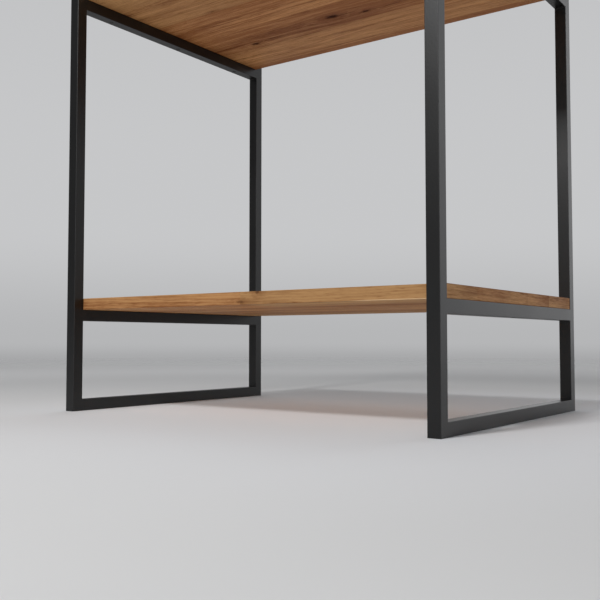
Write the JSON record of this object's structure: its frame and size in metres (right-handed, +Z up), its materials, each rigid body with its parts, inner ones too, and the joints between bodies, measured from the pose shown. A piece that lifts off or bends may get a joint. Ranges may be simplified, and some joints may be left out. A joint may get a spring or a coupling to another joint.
{
  "type": "standing desk",
  "caption": "Standing-height desk: two closed side frames of square steel tube carry a wooden top and a low wooden shelf, with a levelling foot hidden in each leg.",
  "frame": {"origin": "on the floor, at the middle of the desk's footprint", "axes": "+X along the desk to its right end, +Y to its back, +Z up"},
  "size_m": [1.1, 0.8, 1.15],
  "materials": {
    "powder_coated_steel": "satin dark grey powder coat",
    "oak": "oiled staved oak",
    "zinc_plated_steel": "bright zinc plate",
    "black_nylon": "matt moulded nylon"
  },
  "bodies": {
    "desk": {"left_front_leg": "powder_coated_steel", "left_rear_leg": "powder_coated_steel", "right_front_leg": "powder_coated_steel", "right_rear_leg": "powder_coated_steel", "left_bottom_rail": "powder_coated_steel", "right_bottom_rail": "powder_coated_steel", "left_shelf_rail": "powder_coated_steel", "right_shelf_rail": "powder_coated_steel", "left_top_rail": "powder_coated_steel", "right_top_rail": "powder_coated_steel", "left_flush_welds": "powder_coated_steel", "right_flush_welds": "powder_coated_steel", "left_fillet_welds": "powder_coated_steel", "right_fillet_welds": "powder_coated_steel", "left_front_leg_cap": "powder_coated_steel", "left_rear_leg_cap": "powder_coated_steel", "right_front_leg_cap": "powder_coated_steel", "right_rear_leg_cap": "powder_coated_steel", "shelf_board": "oak", "top_board": "oak", "shelf_inserts": "zinc_plated_steel", "top_inserts": "zinc_plated_steel", "shelf_screws": "zinc_plated_steel", "top_screws": "zinc_plated_steel", "shelf_washers": "zinc_plated_steel", "top_washers": "zinc_plated_steel", "shelf_rail_plugs": "black_nylon", "top_rail_plugs": "black_nylon", "left_front_foot_socket": "zinc_plated_steel", "left_rear_foot_socket": "zinc_plated_steel", "right_front_foot_socket": "zinc_plated_steel", "right_rear_foot_socket": "zinc_plated_steel"},
    "left_front_foot_pad": {"left_front_foot_pad": "black_nylon"},
    "left_front_foot_stud": {"left_front_foot_stud": "zinc_plated_steel"},
    "left_rear_foot_pad": {"left_rear_foot_pad": "black_nylon"},
    "left_rear_foot_stud": {"left_rear_foot_stud": "zinc_plated_steel"},
    "right_front_foot_pad": {"right_front_foot_pad": "black_nylon"},
    "right_front_foot_stud": {"right_front_foot_stud": "zinc_plated_steel"},
    "right_rear_foot_pad": {"right_rear_foot_pad": "black_nylon"},
    "right_rear_foot_stud": {"right_rear_foot_stud": "zinc_plated_steel"}
  },
  "joints": [
    {"name": "left_front_foot_lift", "type": "slide", "parent": "desk", "child": "left_front_foot_pad", "axis": [0, 0, -1], "range_m": [0, 0.016]},
    {"name": "left_front_foot_turn", "type": "hinge", "parent": "left_front_foot_pad", "child": "left_front_foot_stud", "pos_m": [-0.535, -0.385, 0], "axis": [0, 0, -1], "range_deg": [0, 3600]},
    {"name": "left_rear_foot_lift", "type": "slide", "parent": "desk", "child": "left_rear_foot_pad", "axis": [0, 0, -1], "range_m": [0, 0.016]},
    {"name": "left_rear_foot_turn", "type": "hinge", "parent": "left_rear_foot_pad", "child": "left_rear_foot_stud", "pos_m": [-0.535, 0.385, 0], "axis": [0, 0, -1], "range_deg": [0, 3600]},
    {"name": "right_front_foot_lift", "type": "slide", "parent": "desk", "child": "right_front_foot_pad", "axis": [0, 0, -1], "range_m": [0, 0.016]},
    {"name": "right_front_foot_turn", "type": "hinge", "parent": "right_front_foot_pad", "child": "right_front_foot_stud", "pos_m": [0.535, -0.385, 0], "axis": [0, 0, -1], "range_deg": [0, 3600]},
    {"name": "right_rear_foot_lift", "type": "slide", "parent": "desk", "child": "right_rear_foot_pad", "axis": [0, 0, -1], "range_m": [0, 0.016]},
    {"name": "right_rear_foot_turn", "type": "hinge", "parent": "right_rear_foot_pad", "child": "right_rear_foot_stud", "pos_m": [0.535, 0.385, 0], "axis": [0, 0, -1], "range_deg": [0, 3600]}
  ],
  "couplings": [
    {"joint": "left_front_foot_lift", "follows": "left_front_foot_turn", "m_per_rad": 0.00023873},
    {"joint": "left_rear_foot_lift", "follows": "left_rear_foot_turn", "m_per_rad": 0.00023873},
    {"joint": "right_front_foot_lift", "follows": "right_front_foot_turn", "m_per_rad": 0.00023873},
    {"joint": "right_rear_foot_lift", "follows": "right_rear_foot_turn", "m_per_rad": 0.00023873}
  ]
}
